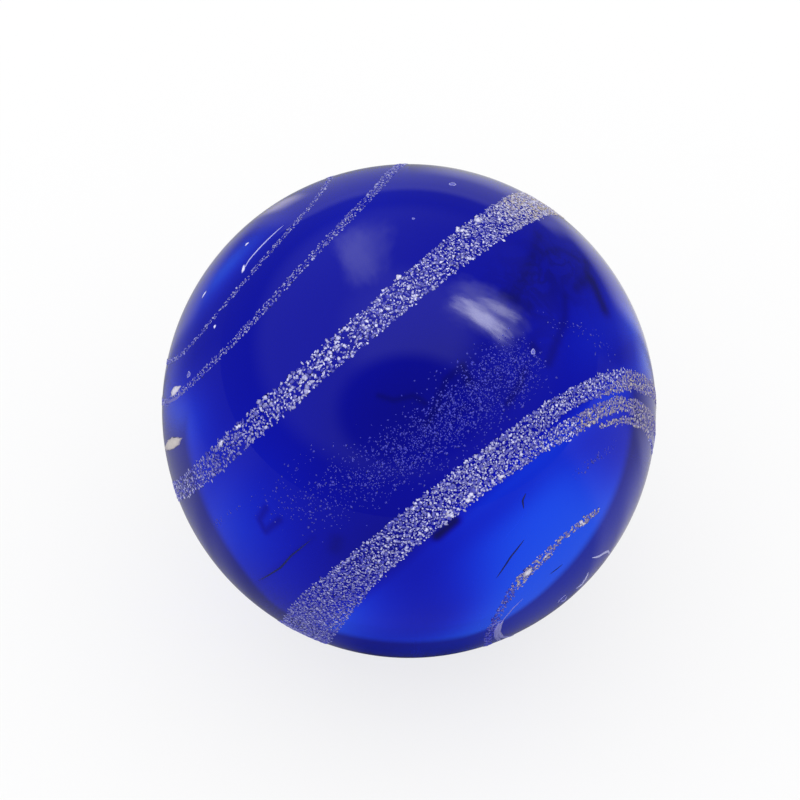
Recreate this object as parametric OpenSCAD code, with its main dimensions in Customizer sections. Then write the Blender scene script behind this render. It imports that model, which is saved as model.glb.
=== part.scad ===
// Glass marble: a polished ball of cobalt glass with one trail of silver flecks wound about it,
// from near one end of the winding axis to near the other. The trail lies in the skin of the ball,
// flush with its surface. Millimetres, +Z up, origin at the centre of the ball, front towards -Y.

/* [Ball] */
// Diameter of the marble
ball_d = 25; // [16:0.5:35]

/* [Trail] */
// Width of the silver trail at its widest
trail_w = 2.5; // [1.5:0.1:4]
// Depth of the trail below the surface of the ball
trail_depth = 0.3; // [0.1:0.05:0.8]

/* [Lie] */
// Lean of the winding axis to the left
axis_lean = 40; // [0:5:90]
// Nod of the winding axis to the back
axis_nod = 50; // [0:5:90]

/* [Hidden] */

ball_r = ball_d / 2;
// Facets of a whole circle on the ball
round_fn = 256;
// Turn at which the seam of a sphere begins; it runs half way round from there, at latitude 0
seam_turn = -120;
// Turn between two stations of a strand, in degrees
station_turn = 8;
// How far a cutting wedge reaches above and below the trail, and how much more the next one does
wedge_reach = 0.8;
reach_step = 0.2;

// A strand is a list of [turn, latitude, share of trail_w] about the winding axis. The turn is
// counted in degrees from the front towards the right and goes on past 360, so that one list can
// wind round the ball several times. The latitude is counted from the middle of the axis.

// The strand that winds all the way: two hair lines, the upper band, the lower band and the tail
main_turns = [
    [-130, 55, 0.05], [-80, 51, 0.08], [-55, 49.5, 0.09], [-30, 52.5, 0.1], [0, 57.5, 0.12],
    [30, 62, 0.11], [60, 66.5, 0.1], [100, 69, 0.1], [150, 65, 0.1], [200, 55, 0.1],
    [240, 46.5, 0.1], [280, 41.5, 0.11], [310, 40, 0.13], [340, 42, 0.16], [370, 46, 0.18],
    [400, 49, 0.2], [430, 51.5, 0.18], [470, 50, 0.2], [520, 39, 0.24], [570, 28, 0.28],
    [610, 22, 0.3], [645, 20.5, 0.34], [665, 20, 0.45], [700, 21, 0.52], [740, 21.5, 0.6],
    [765, 21, 0.68], [780, 20, 0.74], [800, 18, 0.8], [820, 13, 0.76], [840, 4, 0.7],
    [860, -6, 0.64], [880, -14, 0.6], [905, -19, 0.62], [930, -20.5, 0.7], [960, -21.5, 0.85],
    [985, -23.5, 1], [1000, -24.5, 1],
    [1025, -22.5, 1], [1040, -21.5, 0.8], [1060, -21, 0.72], [1080, -21.5, 0.72],
    [1100, -21, 0.46], [1110, -21.5, 0.36], [1120, -23, 0.34], [1130, -25.5, 0.42],
    [1140, -28.5, 0.36], [1150, -32.5, 0.34], [1160, -35, 0.28], [1180, -41, 0.22],
    [1220, -53, 0.18], [1270, -63, 0.14], [1320, -68.5, 0.12], [1370, -67.5, 0.1],
    [1400, -61.5, 0.13], [1420, -56, 0.15], [1432, -53, 0.24], [1445, -52, 0.24],
    [1455, -51, 0.12], [1463, -51.5, 0.17], [1472, -52, 0.06],
];
// The strand that leaves the lower band on its low side
second_turns = [
    [1060, -22.5, 0.2], [1080, -23.5, 0.4], [1100, -25.5, 0.36], [1110, -27.5, 0.33],
    [1120, -29, 0.3], [1130, -31, 0.26], [1140, -35.5, 0.3], [1150, -40, 0.3],
    [1160, -43.5, 0.26], [1180, -50, 0.16], [1200, -56, 0.05],
];
// The hair line below the second strand
third_turns = [
    [1120, -32.5, 0.05], [1130, -35, 0.1], [1140, -39, 0.1], [1150, -44, 0.08],
    [1162, -49.5, 0.05],
];
strands = [main_turns, second_turns, third_turns];

// Direction from the centre of the ball at a turn and a latitude
function heading(turn, lat) = [cos(lat) * sin(turn), -cos(lat) * cos(turn), sin(lat)];

// Rate at which column k of list p changes with the turn at point i
function rate(p, i, k) =
    let (a = max(i - 1, 0), b = min(i + 1, len(p) - 1))
    (p[b][k] - p[a][k]) / (p[b][0] - p[a][0]);

// Value of column k, a share s of the way from point i to the next, on a smooth curve
function between(p, i, s, k) =
    let (run = p[i + 1][0] - p[i][0])
    (1 + 2 * s) * pow(1 - s, 2) * p[i][k] + s * pow(1 - s, 2) * run * rate(p, i, k)
    + s * s * (3 - 2 * s) * p[i + 1][k] - s * s * (1 - s) * run * rate(p, i + 1, k);

// Stations along a strand, each [heading, width]
function stations(p) = [
    for (i = [0 : len(p) - 2])
        let (run = p[i + 1][0] - p[i][0], steps = ceil(run / station_turn))
        for (j = [0 : i == len(p) - 2 ? steps : steps - 1])
            let (s = j / steps)
            [heading(p[i][0] + run * s, between(p, i, s, 1)), trail_w * between(p, i, s, 2)]
];

// Unit vector across the strand at station i
function across(st, i) =
    let (on = st[min(i + 1, len(st) - 1)][0] - st[max(i - 1, 0)][0], side = cross(st[i][0], on))
    side / norm(side);

// One strand as a wedge of rays from the centre, running through the skin of the ball
module strand_wedge(p, reach) {
    st = stations(p);
    inner = ball_r - trail_depth - reach;
    outer = ball_r + reach;
    points = [
        for (i = [0 : len(st) - 1])
            let (
                half = across(st, i) * st[i][1] / ball_d,
                left = st[i][0] + half,
                right = st[i][0] - half
            )
            for (corner = [[left, inner], [right, inner], [right, outer], [left, outer]])
                corner[0] / norm(corner[0]) * corner[1]
    ];
    last = len(points) - 4;
    walls = [
        for (i = [0 : 4 : last - 4], k = [0 : 3])
            let (next = (k + 1) % 4)
            each [[i + k, i + next, i + next + 4], [i + k, i + next + 4, i + k + 4]]
    ];
    ends = [[3, 2, 1, 0], [last, last + 1, last + 2, last + 3]];
    polyhedron(points = points, faces = concat(ends, walls), convexity = 12);
}

// A sphere whose poles and seam lie in clear glass, between the upper and the lower band
module clear_sphere(r) {
    rotate([90, 0, seam_turn]) sphere(r = r, $fn = round_fn);
}

// All that the strands cover, from the floor of the trail out past the ball
module trail_cut() {
    difference() {
        union() {
            for (i = [0 : len(strands) - 1]) strand_wedge(strands[i], wedge_reach + i * reach_step);
        }
        clear_sphere(ball_r - trail_depth);
    }
}

// Lays the winding axis down as the marble lies
module as_it_lies() {
    rotate([-axis_nod, 0, 0]) rotate([0, -axis_lean, 0]) children();
}

// The ball, with the bed that holds the trail
module glass_ball() {
    color([0.06, 0.09, 0.62, 0.85]) as_it_lies() difference() {
        clear_sphere(ball_r);
        trail_cut();
    }
}

// The trail of silver flecks, flush with the ball
module silver_trail() {
    color([0.78, 0.79, 0.84]) as_it_lies() intersection() {
        clear_sphere(ball_r);
        trail_cut();
    }
}

glass_ball();
silver_trail();
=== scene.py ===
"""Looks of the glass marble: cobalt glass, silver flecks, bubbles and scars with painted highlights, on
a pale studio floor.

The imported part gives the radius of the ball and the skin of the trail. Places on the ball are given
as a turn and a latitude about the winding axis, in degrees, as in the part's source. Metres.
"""

import logging
import math
from dataclasses import dataclass, fields
from enum import Enum

import bpy
import numpy as np
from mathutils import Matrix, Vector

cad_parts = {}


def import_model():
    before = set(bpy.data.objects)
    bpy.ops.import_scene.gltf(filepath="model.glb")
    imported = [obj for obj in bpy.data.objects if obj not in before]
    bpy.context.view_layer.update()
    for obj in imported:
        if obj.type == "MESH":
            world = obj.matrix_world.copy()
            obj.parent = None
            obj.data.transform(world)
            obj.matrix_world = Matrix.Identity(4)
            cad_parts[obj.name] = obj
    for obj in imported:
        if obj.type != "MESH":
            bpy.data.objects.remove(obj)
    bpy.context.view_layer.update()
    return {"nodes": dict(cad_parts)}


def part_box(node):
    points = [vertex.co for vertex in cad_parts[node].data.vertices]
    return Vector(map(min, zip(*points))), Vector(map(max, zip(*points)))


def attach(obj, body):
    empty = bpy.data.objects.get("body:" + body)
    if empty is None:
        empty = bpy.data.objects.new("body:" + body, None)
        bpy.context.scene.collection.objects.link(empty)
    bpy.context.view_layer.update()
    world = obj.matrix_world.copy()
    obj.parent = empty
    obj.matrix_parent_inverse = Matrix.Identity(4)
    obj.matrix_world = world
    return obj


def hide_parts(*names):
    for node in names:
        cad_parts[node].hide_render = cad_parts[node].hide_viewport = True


LOG = logging.getLogger("marble")
MM = 0.001
FULL_TURN = 2.0 * math.pi
IN_DEGREES = 180.0 / math.pi
AXIS_LEAN = 40.0
AXIS_NOD = 50.0
# Direction towards someone who looks steeply down at the ball from the front
UPPER_FRONT = np.array([0.0, -0.6428, 0.766])
# A flat square, for the floor and the cards
SQUARE = np.array([[-1.0, -1.0], [1.0, -1.0], [1.0, 1.0], [-1.0, 1.0]])
SQUARE_FACE = np.array([[0, 1, 2, 3]])
WHITE = (1.0, 1.0, 1.0)

Array = np.ndarray
Random = np.random.Generator
Colour = tuple[float, float, float]
Place = tuple[float, float]
Span = tuple[float, float]
Piece = bpy.types.Object
Material = bpy.types.Material
Socket = bpy.types.NodeSocket
Feeds = dict[str | int, object]
Shape = tuple[Array, Array, Array]


# ---- Places on the ball ----


def winding_frame() -> Array:
    """Gives the matrix that lays the winding axis down: a lean about Y, then a nod about X.

    Returns:
        A 3 by 3 matrix whose product with a direction in the winding frame is one in the row frame.
    """
    lean, nod = math.radians(-AXIS_LEAN), math.radians(-AXIS_NOD)
    cos_y, sin_y, cos_x, sin_x = math.cos(lean), math.sin(lean), math.cos(nod), math.sin(nod)
    about_y = np.array([[cos_y, 0.0, sin_y], [0.0, 1.0, 0.0], [-sin_y, 0.0, cos_y]])
    about_x = np.array([[1.0, 0.0, 0.0], [0.0, cos_x, -sin_x], [0.0, sin_x, cos_x]])
    return about_x @ about_y


def headings(turn: Array, lat: Array) -> Array:
    """Turns turns and latitudes into directions from the centre of the ball.

    In the winding frame a direction is (cos lat sin turn, -cos lat cos turn, sin lat).

    Args:
        turn: Turns about the winding axis in degrees, of any shape.
        lat: Latitudes in degrees, of the same shape.

    Returns:
        Unit vectors in the row frame, one axis more than the input.
    """
    u, v = np.radians(turn), np.radians(lat)
    wound = np.stack([np.cos(v) * np.sin(u), -np.cos(v) * np.cos(u), np.sin(v)], axis=-1)
    return wound @ winding_frame().T


def headings_of(places: list[Place]) -> Array:
    """Gives the directions of a list of places, shape (n, 3)."""
    return headings(*np.array(places, dtype=float).T)


def turns_and_lats(directions: Array) -> tuple[Array, Array]:
    """Turns directions in the row frame back into turns and latitudes.

    Args:
        directions: Unit vectors, shape (n, 3).

    Returns:
        Turns from -180 to 180 and latitudes, in degrees.
    """
    wound = directions @ winding_frame()
    turn = np.degrees(np.arctan2(wound[:, 0], -wound[:, 1]))
    return turn, np.degrees(np.arcsin(np.clip(wound[:, 2], -1.0, 1.0)))


def unit(vectors: Array) -> Array:
    """Scales each vector along the last axis to length one."""
    return vectors / np.linalg.norm(vectors, axis=-1, keepdims=True)


def smooth(share: Array) -> Array:
    """Eases a share from 0 to 1 as 3 s^2 - 2 s^3, and holds it outside."""
    held = np.clip(share, 0.0, 1.0)
    return held * held * (3.0 - 2.0 * held)


def tangents(directions: Array) -> tuple[Array, Array]:
    """Gives two unit vectors square to each direction: one across the winding, one along it.

    Args:
        directions: Unit vectors, shape (n, 3).

    Returns:
        East, which points the way the turn grows, and north, towards the end of the axis.
    """
    axis = winding_frame() @ np.array([0.0, 0.0, 1.0])
    east = unit(np.cross(np.broadcast_to(axis, directions.shape), directions))
    return east, np.cross(directions, east)


# ---- Meshes from arrays ----


def mesh_object(name: str, points: Array, faces: Array) -> Piece:
    """Puts whole arrays of points and faces into a new smooth mesh object.

    Args:
        name: Name of the object and of its mesh.
        points: Places in metres, shape (n, 3).
        faces: Indices of the corners, shape (m, 3) or (m, 4).

    Returns:
        The object, linked to the scene, at the origin.
    """
    mesh = bpy.data.meshes.new(name)
    mesh.vertices.add(len(points))
    mesh.vertices.foreach_set("co", points.astype(np.float32).ravel())
    mesh.loops.add(faces.size)
    mesh.loops.foreach_set("vertex_index", faces.astype(np.int32).ravel())
    mesh.polygons.add(len(faces))
    starts = np.arange(0, faces.size, faces.shape[1], dtype=np.int32)
    mesh.polygons.foreach_set("loop_start", starts)
    mesh.polygons.foreach_set("use_smooth", np.ones(len(faces), dtype=bool))
    mesh.update(calc_edges=True)
    mesh.validate()
    piece = bpy.data.objects.new(name, mesh)
    bpy.context.scene.collection.objects.link(piece)
    return piece


def point_attribute(piece: Piece, name: str, values: Array) -> None:
    """Stores one number per point on a mesh, for its material to read by that name."""
    layer = piece.data.attributes.new(name, "FLOAT", "POINT")
    layer.data.foreach_set("value", values.astype(np.float32))


def ring_angles(count: int) -> Array:
    """Gives equal steps of a full turn, in radians, from 0."""
    return FULL_TURN * np.arange(count) / count


def grid_faces(rows: int, columns: int, around: bool) -> Array:
    """Lists the quads of a grid of points, row after row.

    Args:
        rows: Number of rows of points.
        columns: Number of points in a row.
        around: Whether the last column joins the first.

    Returns:
        Indices, shape (m, 4), turning from a row to the next.
    """
    row = np.arange(rows - 1)[:, None] * columns
    column = np.arange(columns if around else columns - 1)[None, :]
    following = (column + 1) % columns
    corners = [row + column, row + following, row + columns + following, row + columns + column]
    return np.stack([c.ravel() for c in corners], axis=1)


def capped_faces(rows: int, columns: int, flipped: bool = False) -> Array:
    """Lists the triangles of a row of rings that is closed by a fan at each end.

    The points are the rings, one after another, then the tip before the first and the tip past
    the last.

    Args:
        rows: Number of rings.
        columns: Number of points in a ring.
        flipped: Whether the triangles turn the other way.

    Returns:
        Indices, shape (m, 3).
    """
    quads = grid_faces(rows, columns, around=True)
    ring = np.arange(columns)
    following = (ring + 1) % columns
    last, tip = (rows - 1) * columns, np.full(columns, rows * columns)
    fans = [
        np.stack([following, ring, tip], axis=1),
        np.stack([last + ring, last + following, tip + 1], axis=1),
    ]
    if flipped:
        quads, fans = quads[:, ::-1], [fan[:, [1, 0, 2]] for fan in fans]
    return np.concatenate([quads[:, [0, 1, 2]], quads[:, [0, 2, 3]], *fans])


# ---- Node helpers ----


class Nodes:
    """A small wrapper that adds nodes to a tree and feeds their inputs."""

    def __init__(self, tree: bpy.types.NodeTree) -> None:
        """Keeps the tree and clears it."""
        self.tree = tree
        tree.nodes.clear()

    def add(self, kind: str, feeds: Feeds | None = None, **settings: object) -> bpy.types.Node:
        """Adds a node.

        Args:
            kind: The node's type, such as ShaderNodeMath.
            feeds: Outputs to link or values to set, by the name or the number of the input.
            **settings: Properties of the node.

        Returns:
            The new node.
        """
        node = self.tree.nodes.new(kind)
        for name, value in settings.items():
            setattr(node, name, value)
        for name, value in (feeds or {}).items():
            target = node.inputs[name]
            if isinstance(value, Socket):
                self.tree.links.new(value, target)
            else:
                target.default_value = (*value, 1.0) if target.type == "RGBA" else value
        return node

    def math(self, operation: str, *operands: object, clamp: bool = False) -> Socket:
        """Adds a Math node for outputs or numbers. Clamped, its result stays between 0 and 1."""
        feeds = dict(enumerate(operands))
        return self.add("ShaderNodeMath", feeds, operation=operation, use_clamp=clamp).outputs[0]

    def times(self, first: Socket, second: object) -> Socket:
        """Multiplies an output by another or by a number."""
        return self.math("MULTIPLY", first, second)

    def mix(self, factor: Socket, low: object, high: object) -> Socket:
        """Mixes two colours by a factor that runs from 0, low, to 1, high."""
        return self.add("ShaderNodeMix", {0: factor, 6: low, 7: high}, data_type="RGBA").outputs[2]

    def either(self, factor: Socket, low: Socket, high: Socket) -> Socket:
        """Mixes two shaders by a factor that runs from 0, low, to 1, high."""
        return self.add("ShaderNodeMixShader", {0: factor, 1: low, 2: high}).outputs[0]

    def glow(self, colour: object, strength: float = 1.0) -> Socket:
        """Gives a shader that gives off light of a colour."""
        return self.add("ShaderNodeEmission", {"Color": colour, "Strength": strength}).outputs[0]

    def span(
        self, value: Socket, low: float, high: float, start: float = 0.0, end: float = 1.0
    ) -> Socket:
        """Maps a value smoothly from low..high to start..end, and holds it outside.

        Args:
            value: The value.
            low: Where the slope begins.
            high: Where the slope ends.
            start: Result at low.
            end: Result at high.

        Returns:
            The result.
        """
        feeds = {"Value": value, "From Min": low, "From Max": high, "To Min": start, "To Max": end}
        node = self.add("ShaderNodeMapRange", feeds, interpolation_type="SMOOTHSTEP")
        return node.outputs["Result"]

    def attribute(self, name: str) -> Socket:
        """Reads a number that the mesh holds for each point."""
        return self.add("ShaderNodeAttribute", attribute_name=name).outputs["Fac"]

    def place(self, space: str = "Object") -> Socket:
        """Gives the place in the object's own space, or another set of coordinates."""
        return self.add("ShaderNodeTexCoord").outputs[space]

    def apart(self, vector: Socket) -> tuple[Socket, ...]:
        """Takes a vector apart into X, Y and Z."""
        return tuple(self.add("ShaderNodeSeparateXYZ", {0: vector}).outputs)

    def noise(self, place: Socket, scale: object, detail: float, warp: float = 0.0) -> Socket:
        """Adds a noise about 0.5, read at a place, which may be warped by itself."""
        feeds = {"Vector": place, "Scale": scale, "Detail": detail, "Distortion": warp}
        return self.add("ShaderNodeTexNoise", feeds).outputs["Fac"]

    def bearing(self, x: Socket, y: Socket, scale: float = IN_DEGREES) -> Socket:
        """Gives the bearing of a place: degrees from the back, towards the right."""
        return self.times(self.math("ARCTAN2", x, y), scale)


def new_material(name: str) -> tuple[Material, Nodes]:
    """Makes an empty node material.

    Args:
        name: Name of the material.

    Returns:
        The material and the helper for its tree.
    """
    material = bpy.data.materials.new(name)
    material.use_nodes = True
    return material, Nodes(material.node_tree)


def mottle_group() -> bpy.types.NodeTree:
    """Builds the group that mottles a colour with fine noise in the object's own space.

    The colour is multiplied by 1 + amount (noise - 0.5), where the noise has the given scale.

    Returns:
        The group, with inputs Color, Scale and Amount and outputs Color and Height.
    """
    group = bpy.data.node_groups.new("mottle", "ShaderNodeTree")
    sides = [("Color", "INPUT", "Color"), ("Scale", "INPUT", "Float"), ("Amount", "INPUT", "Float")]
    sides += [("Color", "OUTPUT", "Color"), ("Height", "OUTPUT", "Float")]
    for name, side, kind in sides:
        group.interface.new_socket(name, in_out=side, socket_type=f"NodeSocket{kind}")
    nodes = Nodes(group)
    given = nodes.add("NodeGroupInput").outputs
    noise = nodes.noise(nodes.place(), given["Scale"], 3.0)
    gain = nodes.math("ADD", nodes.times(nodes.math("SUBTRACT", noise, 0.5), given["Amount"]), 1.0)
    scaled = nodes.add("ShaderNodeVectorMath", {0: given["Color"], "Scale": gain}, operation="SCALE")
    nodes.add("NodeGroupOutput", {"Color": scaled.outputs[0], "Height": noise})
    return group


# ---- Finishes ----


@dataclass(frozen=True)
class CobaltGlass:
    """Cobalt glass with a polished skin: thin glass lets blue through, dense places near to none."""

    skin: Colour = (0.70, 0.78, 1.0)
    dense_loss: Colour = (10.0, 8.0, 2.0)
    depth_colour: Colour = (0.0, 0.48, 0.958)
    density: float = 215.0
    ior: float = 1.5
    wisp_scale: float = 420.0
    wisp_warp: float = 1.6
    wisp_width: float = 0.12

    def material(self) -> Material:
        """Builds the glass: its tint follows the attribute dense, its depth is plain and unlinked.

        Each part of the tint is skin exp(-dense_loss dense). Wisps of ink, where the attribute ink
        is above nothing, add to the density: the ink times the sharp ridge of a warped noise.

        Returns:
            The material.
        """
        material, nodes = new_material("cobalt_glass")
        noise = nodes.noise(nodes.place(), self.wisp_scale, 3.0, self.wisp_warp)
        off_ridge = nodes.math("ABSOLUTE", nodes.math("SUBTRACT", noise, 0.5))
        ridge = nodes.span(off_ridge, 0.0, self.wisp_width, 1.0, 0.0)
        wisps = nodes.times(nodes.attribute("ink"), ridge)
        total = nodes.math("ADD", nodes.attribute("dense"), wisps)
        parts = {}
        for part, (clear, loss) in enumerate(zip(self.skin, self.dense_loss)):
            share = nodes.math("EXPONENT", nodes.times(total, -loss))
            parts[part] = nodes.math("MULTIPLY", share, clear, clamp=True)
        look = {
            "Base Color": nodes.add("ShaderNodeCombineColor", parts).outputs["Color"],
            "Roughness": 0.0,
            "IOR": self.ior,
            "Transmission Weight": 1.0,
        }
        skin = nodes.add("ShaderNodeBsdfPrincipled", look).outputs["BSDF"]
        inside = {"Color": self.depth_colour, "Density": self.density}
        depth = nodes.add("ShaderNodeVolumeAbsorption", inside).outputs["Volume"]
        nodes.add("ShaderNodeOutputMaterial", {"Surface": skin, "Volume": depth})
        return material


@dataclass(frozen=True)
class SilverFleck:
    """Silver grains: lavender white at the skin, deep blue where they lie low, olive in places."""

    dull: Colour = (0.12, 0.12, 0.42)
    bright: Colour = (0.72, 0.73, 1.0)
    olive: Colour = (0.46, 0.38, 0.19)
    sunk: Colour = (0.035, 0.038, 0.48)
    ink: Colour = (0.004, 0.008, 0.12)
    # Painted glow: dim blue light from the undersides, standing in for light inside the ball that falls
    # on them
    within: Colour = (0.06, 0.07, 0.32)
    roughness: float = 0.35
    mottle_scale: float = 6000.0
    mottle_amount: float = 0.6
    bump_strength: float = 0.3
    bump_depth: float = 0.02 * MM

    def material(self, mottle: bpy.types.NodeTree) -> Material:
        """Builds the grains' material.

        Their undersides, seen only through the ball, glow dim blue: painted light standing in for light
        inside the ball.

        Args:
            mottle: The shared group that mottles a colour.

        Returns:
            The material, which reads the attributes tone, warmth, low, dark and under.
        """
        material, nodes = new_material("silver_flecks")
        colour = nodes.mix(nodes.attribute("tone"), self.dull, self.bright)
        for name, towards in (("warmth", self.olive), ("low", self.sunk), ("dark", self.ink)):
            colour = nodes.mix(nodes.attribute(name), colour, towards)
        feeds = {"Color": colour, "Scale": self.mottle_scale, "Amount": self.mottle_amount}
        grain = nodes.add("ShaderNodeGroup", feeds, node_tree=mottle).outputs
        relief = {"Strength": self.bump_strength, "Distance": self.bump_depth}
        relief["Height"] = grain["Height"]
        bump = nodes.add("ShaderNodeBump", relief)
        # Painted glow on the undersides, which the attribute under marks
        inward = nodes.span(nodes.attribute("under"), 0.02, 0.2)
        look = {
            "Base Color": grain["Color"],
            "Normal": bump.outputs["Normal"],
            "Emission Color": nodes.mix(inward, (0.0, 0.0, 0.0), self.within),
            "Emission Strength": 1.0,
            "Roughness": self.roughness,
        }
        shader = nodes.add("ShaderNodeBsdfPrincipled", look).outputs["BSDF"]
        nodes.add("ShaderNodeOutputMaterial", {"Surface": shader})
        return material


# ---- The ball ----


def cube_sphere(divisions: int, crowding: float) -> tuple[Array, Array]:
    """Lays six curved grids over a ball, joined along their edges, with no poles.

    A point of a grid is the unit vector of (tan a, tan b, 1) with a and b from -45 to 45 degrees,
    turned to each side of a cube in turn. Its angle t from UPPER_FRONT then becomes
    t - crowding sin t, so that points lie closer together there.

    Args:
        divisions: Number of quads along each side of a grid.
        crowding: How much closer the points lie at UPPER_FRONT, from 0 to below 1.

    Returns:
        Unit vectors, shape (n, 3), and quads that face outwards, shape (m, 4).
    """
    span = np.tan(np.radians(np.linspace(-45.0, 45.0, divisions + 1)))
    first, second = np.meshgrid(span, span, indexing="ij")
    flat = np.stack([first.ravel(), second.ravel(), np.ones(first.size)], axis=1)
    quads = grid_faces(divisions + 1, divisions + 1, around=False)
    sides = [(0, 1, 2), (1, 2, 0), (2, 0, 1)]
    turned = [unit(flat[:, order]) * sign for order in sides for sign in (1.0, -1.0)]
    directions = np.concatenate(turned)
    corners = np.concatenate([quads + k * len(flat) for k in range(len(turned))])
    _, kept, index = np.unique(
        np.round(directions, 6), axis=0, return_index=True, return_inverse=True
    )
    directions, corners = directions[kept], index.reshape(-1)[corners]
    start = directions[corners[:, 0]]
    normal = np.cross(directions[corners[:, 1]] - start, directions[corners[:, 2]] - start)
    inward = np.einsum("ij,ij->i", normal, start) < 0.0
    corners[inward] = corners[inward, ::-1]
    ahead = np.clip(directions @ UPPER_FRONT, -1.0, 1.0)
    angle = np.arccos(ahead)
    angle -= crowding * np.sin(angle)
    aside = directions - ahead[:, None] * UPPER_FRONT
    aside /= np.maximum(np.linalg.norm(aside, axis=1, keepdims=True), 1e-9)
    return np.cos(angle)[:, None] * UPPER_FRONT + np.sin(angle)[:, None] * aside, corners


@dataclass
class Cloud:
    """A soft oval on the ball where the cobalt is denser, or clearer where more is below zero."""

    place: Place
    along: float
    across: float
    more: float
    slant: float = 0.0

    def at(self, directions: Array) -> Array:
        """Gives what the cloud adds.

        With u and v the angles east and north from the middle, turned by the slant, it is
        more exp(-(u / along)^2 - (v / across)^2).

        Args:
            directions: Unit vectors, shape (n, 3).

        Returns:
            Densities, one per direction.
        """
        middle = headings_of([self.place])
        east, north = tangents(middle)
        ahead = directions @ middle[0]
        x = np.degrees(np.arctan2(directions @ east[0], ahead))
        y = np.degrees(np.arctan2(directions @ north[0], ahead))
        turn = math.radians(self.slant)
        u = x * math.cos(turn) + y * math.sin(turn)
        v = y * math.cos(turn) - x * math.sin(turn)
        bell = np.exp(-((u / self.along) ** 2) - (v / self.across) ** 2)
        return np.where(ahead > 0.0, self.more * bell, 0.0)


@dataclass
class Wisp:
    """A thin curved streak on the ball where the cobalt is denser."""

    places: list[Place]
    width: float
    more: float

    def at(self, directions: Array) -> Array:
        """Gives what the wisp adds: more exp(-(angle from the line / width)^2).

        The line runs straight from place to place, and the angle is to its nearest point.

        Args:
            directions: Unit vectors, shape (n, 3).

        Returns:
            Densities, one per direction.
        """
        line = headings_of(self.places)
        starts, runs = line[:-1], np.diff(line, axis=0)
        offset = directions[:, None] - starts
        share = np.einsum("nsk,sk->ns", offset, runs) / np.einsum("sk,sk->s", runs, runs)
        nearest = offset - np.clip(share, 0.0, 1.0)[..., None] * runs
        away = np.degrees(np.linalg.norm(nearest, axis=2).min(axis=1))
        return self.more * np.exp(-((away / self.width) ** 2))


@dataclass
class GlassBall:
    """The polished ball of cobalt glass."""

    radius: float
    clouds: list[Cloud | Wisp]
    inks: list[Cloud]
    divisions: int = 128
    crowding: float = 0.4
    body: float = 0.85
    low_end: Place = (-29.0, -21.0)
    finish: CobaltGlass = CobaltGlass()

    def density(self, directions: Array) -> Array:
        """Gives how dense the cobalt is below each place of the skin.

        The body falls smoothly to nothing between the two latitudes of its low end. The clouds and
        wisps are added, and all is held above nothing and ends on the far side, where the
        direction's share of UPPER_FRONT falls from 0.45 to -0.15.

        Args:
            directions: Unit vectors, shape (n, 3).

        Returns:
            Densities, which the glass turns into its tint.
        """
        _, lat = turns_and_lats(directions)
        low, high = self.low_end
        total = self.body * smooth((lat - low) / (high - low))
        for cloud in self.clouds:
            total += cloud.at(directions)
        return np.maximum(total, 0.0) * smooth((directions @ UPPER_FRONT + 0.15) / 0.6)

    def build(self) -> Piece:
        """Builds the ball as one closed mesh.

        Returns:
            The ball.
        """
        directions, corners = cube_sphere(self.divisions, self.crowding)
        ball = mesh_object("glass_marble_ball", directions * self.radius, corners)
        point_attribute(ball, "dense", self.density(directions))
        point_attribute(ball, "ink", sum(cloud.at(directions) for cloud in self.inks))
        ball.data.materials.append(self.finish.material())
        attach(ball, "root")
        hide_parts("glass_ball")
        return ball


# ---- Silver grains ----

# Spread of a grain's tilt as a slope, and the least and the most that its rim reaches out
GRAIN_TILT = 0.12
GRAIN_REACH = (0.65, 1.25)
# How far a grain's tips stand above and below its middle: a share of its size and a bit more
GRAIN_LIFT = 0.25
GRAIN_BASE = 0.006 * MM


@dataclass(frozen=True)
class GradeLook:
    """Looks of a grade of grains: middle size in millimetres, spreads, tone, lowness and stretch."""

    size: float
    spread: float
    tone: Span
    low: Span
    stretch: float


class Grade(Enum):
    """The grades of silver grains that the trail and the dust are made of."""

    FLAKE = GradeLook(0.085, 0.25, (0.0, 0.25), (0.35, 0.9), 1.8)
    SPARK = GradeLook(0.059, 0.3, (0.25, 1.0), (0.0, 0.2), 2.2)
    CLUMP = GradeLook(0.115, 0.3, (0.6, 1.0), (0.0, 0.0), 1.6)
    DUST = GradeLook(0.041, 0.4, (0.0, 0.22), (0.84, 1.0), 2.0)


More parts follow.
